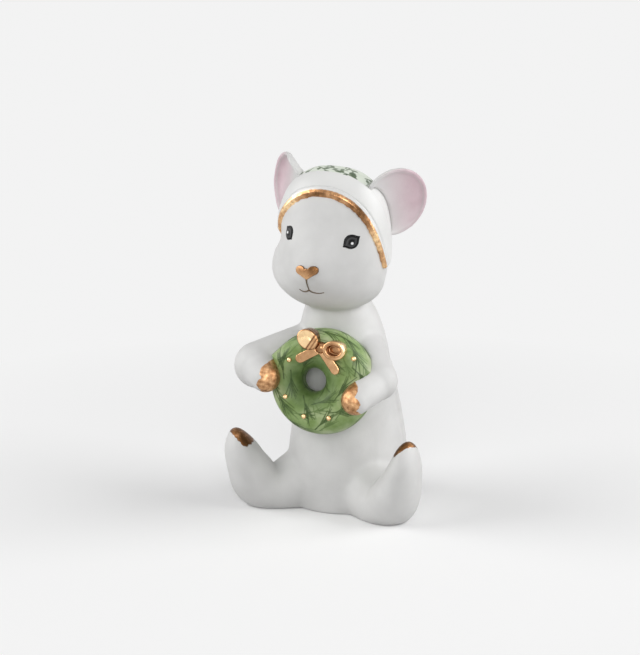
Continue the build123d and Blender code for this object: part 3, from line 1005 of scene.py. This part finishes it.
# Places on the face and half width in millimetres
mouth_strokes = {
    "mouth_stem": ((-0.76, 0.25), (-0.74, -1.42), (-0.54, -2.77)),
    "mouth_left": ((-0.54, -2.77), (0.04, -3.14), (0.78, -3.26), (1.8, -3.23), (2.85, -2.89)),
    "mouth_right": ((-0.54, -2.77), (-1.15, -3.2), (-1.92, -3.48), (-2.6, -3.4), (-3.13, -3.11)),
}
mouth_half_width = 0.23
mouth_steps = 8
mouth_thinning = 0.5
mouth_roundness = 3


def smooth_path(places):
    """Points along a smooth line through the given places."""
    ends = [places[0], *places, places[-1]]
    path = []
    for before, start, end, after in zip(ends, ends[1:], ends[2:], ends[3:]):
        before, start, end, after = (np.array(place) for place in (before, start, end, after))
        for k in range(mouth_steps):
            t = k / mouth_steps
            path.append(start + 0.5 * (t * (end - before) + t * t * (2 * before - 5 * start + 4 * end - after)
                                       + t ** 3 * (3 * start - before - 3 * end + after)))
    return path + [np.array(places[-1])]


def mouth_piece():
    """Fine brush line from the nose down to the two curves of the lips."""
    lines = []
    for name, places in mouth_strokes.items():
        curve = bpy.data.curves.new(name, "CURVE")
        curve.dimensions = "3D"
        curve.bevel_depth = mouth_half_width * mm
        curve.bevel_resolution = mouth_roundness
        curve.use_fill_caps = True
        path = smooth_path(places)
        spline = curve.splines.new("POLY")
        spline.points.add(len(path) - 1)
        for k, (point, place) in enumerate(zip(spline.points, path)):
            spot, _ = on_face(place)
            point.co = (*spot, 1.0)
            point.radius = 1.0 - mouth_thinning * k / (len(path) - 1)
        line = bpy.data.objects.new(name, curve)
        bpy.context.scene.collection.objects.link(line)
        pick(line)
        bpy.ops.object.convert(target="MESH")
        lines.append(bpy.context.object)
    pick(*lines)
    bpy.ops.object.join()
    mouth = bpy.context.object
    mouth.name = "mouth_line"
    bpy.ops.object.shade_smooth()
    finish_piece(mouth, None, brown_line)


for side in ("left", "right"):
    eye_piece(side)
mouth_piece()


def floor_piece():
    """Wide pale table top that keeps the shadow near the figure and is even further out."""
    bpy.ops.object.select_all(action="DESELECT")
    bpy.ops.mesh.primitive_plane_add(size=floor_size)
    floor = bpy.context.object
    floor.name = "table_top"
    material = bpy.data.materials.new("table_white")
    material.use_nodes = True
    tree = material.node_tree
    tree.nodes.clear()
    output = tree.nodes.new("ShaderNodeOutputMaterial")
    matte = tree.nodes.new("ShaderNodeBsdfDiffuse")
    tree.links.new(spread(tree, seen_rays(tree), 0.0, 1.0, floor_bounce, floor_tone), matte.inputs["Color"])
    bright = tree.nodes.new("ShaderNodeEmission")
    bright.inputs["Color"].default_value = (*backdrop_tone, 1.0)
    distance = tree.nodes.new("ShaderNodeVectorMath")
    distance.operation = "LENGTH"
    tree.links.new(object_spots(tree), distance.inputs[0])
    far = spread(tree, distance.outputs["Value"], floor_shadow_reach, floor_even_reach, floor_lift, 1.0)
    blend = tree.nodes.new("ShaderNodeMixShader")
    tree.links.new(combine(tree, far, seen_rays(tree), "MULTIPLY"), blend.inputs["Fac"])
    tree.links.new(matte.outputs["BSDF"], blend.inputs[1])
    tree.links.new(bright.outputs["Emission"], blend.inputs[2])
    tree.links.new(blend.outputs["Shader"], output.inputs["Surface"])
    floor.data.materials.append(material)


def seen_rays(tree):
    """1 for what the camera sees straight, mirrored or through glass, and 0 for other light."""
    path = tree.nodes.new("ShaderNodeLightPath")
    mirrored = combine(tree, path.outputs["Is Camera Ray"], path.outputs["Is Glossy Ray"], "MAXIMUM")
    return combine(tree, mirrored, path.outputs["Is Transmission Ray"], "MAXIMUM")


# Size and reaches in metres, and tones
floor_size = 8.0
floor_tone = 0.92
floor_bounce = 0.6
backdrop_tone = (0.895, 0.895, 0.895)
floor_shadow_reach = 0.05
floor_even_reach = 0.16
floor_lift = 0.12
ambient = 0.1


def studio_world():
    world = bpy.data.worlds.new("studio")
    bpy.context.scene.world = world
    world.use_nodes = True
    tree = world.node_tree
    tree.nodes.clear()
    output = tree.nodes.new("ShaderNodeOutputWorld")
    light = tree.nodes.new("ShaderNodeBackground")
    light.inputs["Color"].default_value = (1.0, 1.0, 1.0, 1.0)
    light.inputs["Strength"].default_value = ambient
    seen = tree.nodes.new("ShaderNodeBackground")
    seen.inputs["Color"].default_value = (*backdrop_tone, 1.0)
    blend = tree.nodes.new("ShaderNodeMixShader")
    tree.links.new(seen_rays(tree), blend.inputs["Fac"])
    tree.links.new(light.outputs["Background"], blend.inputs[1])
    tree.links.new(seen.outputs["Background"], blend.inputs[2])
    tree.links.new(blend.outputs["Shader"], output.inputs["Surface"])


def soft_box(name, place, size, watts):
    """Square soft light that faces the figure."""
    lamp = bpy.data.lights.new(name, "AREA")
    lamp.size = size
    lamp.energy = watts
    box = bpy.data.objects.new(name, lamp)
    bpy.context.scene.collection.objects.link(box)
    box.location = place
    box.rotation_euler = (lamp_aim - Vector(place)).to_track_quat("-Z", "Y").to_euler()


lamp_aim = Vector((0, 0, 0.04))
# Place and width in metres, and watts
soft_boxes = {
    "right_box": ((0.59, 0.15, 0.37), 0.6, 4.3),
    "left_box": ((-0.57, -0.25, 0.36), 0.6, 3.6),
    "front_box": ((0.25, -0.7, 0.3), 0.4, 2.15),
    "top_box": ((0.0, -0.05, 0.8), 0.6, 0.7),
}


def photo_camera():
    bearing, height = math.radians(camera_bearing), math.radians(camera_height)
    right = Vector((math.cos(bearing), math.sin(bearing), 0))
    level = math.cos(height)
    back = Vector((math.sin(bearing) * level, -math.cos(bearing) * level, math.sin(height)))
    upward = back.cross(right)
    aim = (right * aim_right + upward * aim_up) / photo_scale
    lens = bpy.data.cameras.new("photo_camera")
    lens.sensor_fit = "VERTICAL"
    lens.sensor_height = sensor_height
    lens.lens = camera_pixels * sensor_height / photo_height
    lens.clip_start = camera_nearest
    camera = bpy.data.objects.new("photo_camera", lens)
    bpy.context.scene.collection.objects.link(camera)
    place = (aim + back * camera_distance) * mm
    camera.matrix_world = Matrix.Translation(place) @ Matrix((right, upward, back)).transposed().to_4x4()
    bpy.context.scene.camera = camera


floor_piece()
studio_world()
for name, (place, size, watts) in soft_boxes.items():
    soft_box(name, place, size, watts)
photo_camera()
bpy.context.scene.view_settings.view_transform = "Standard"
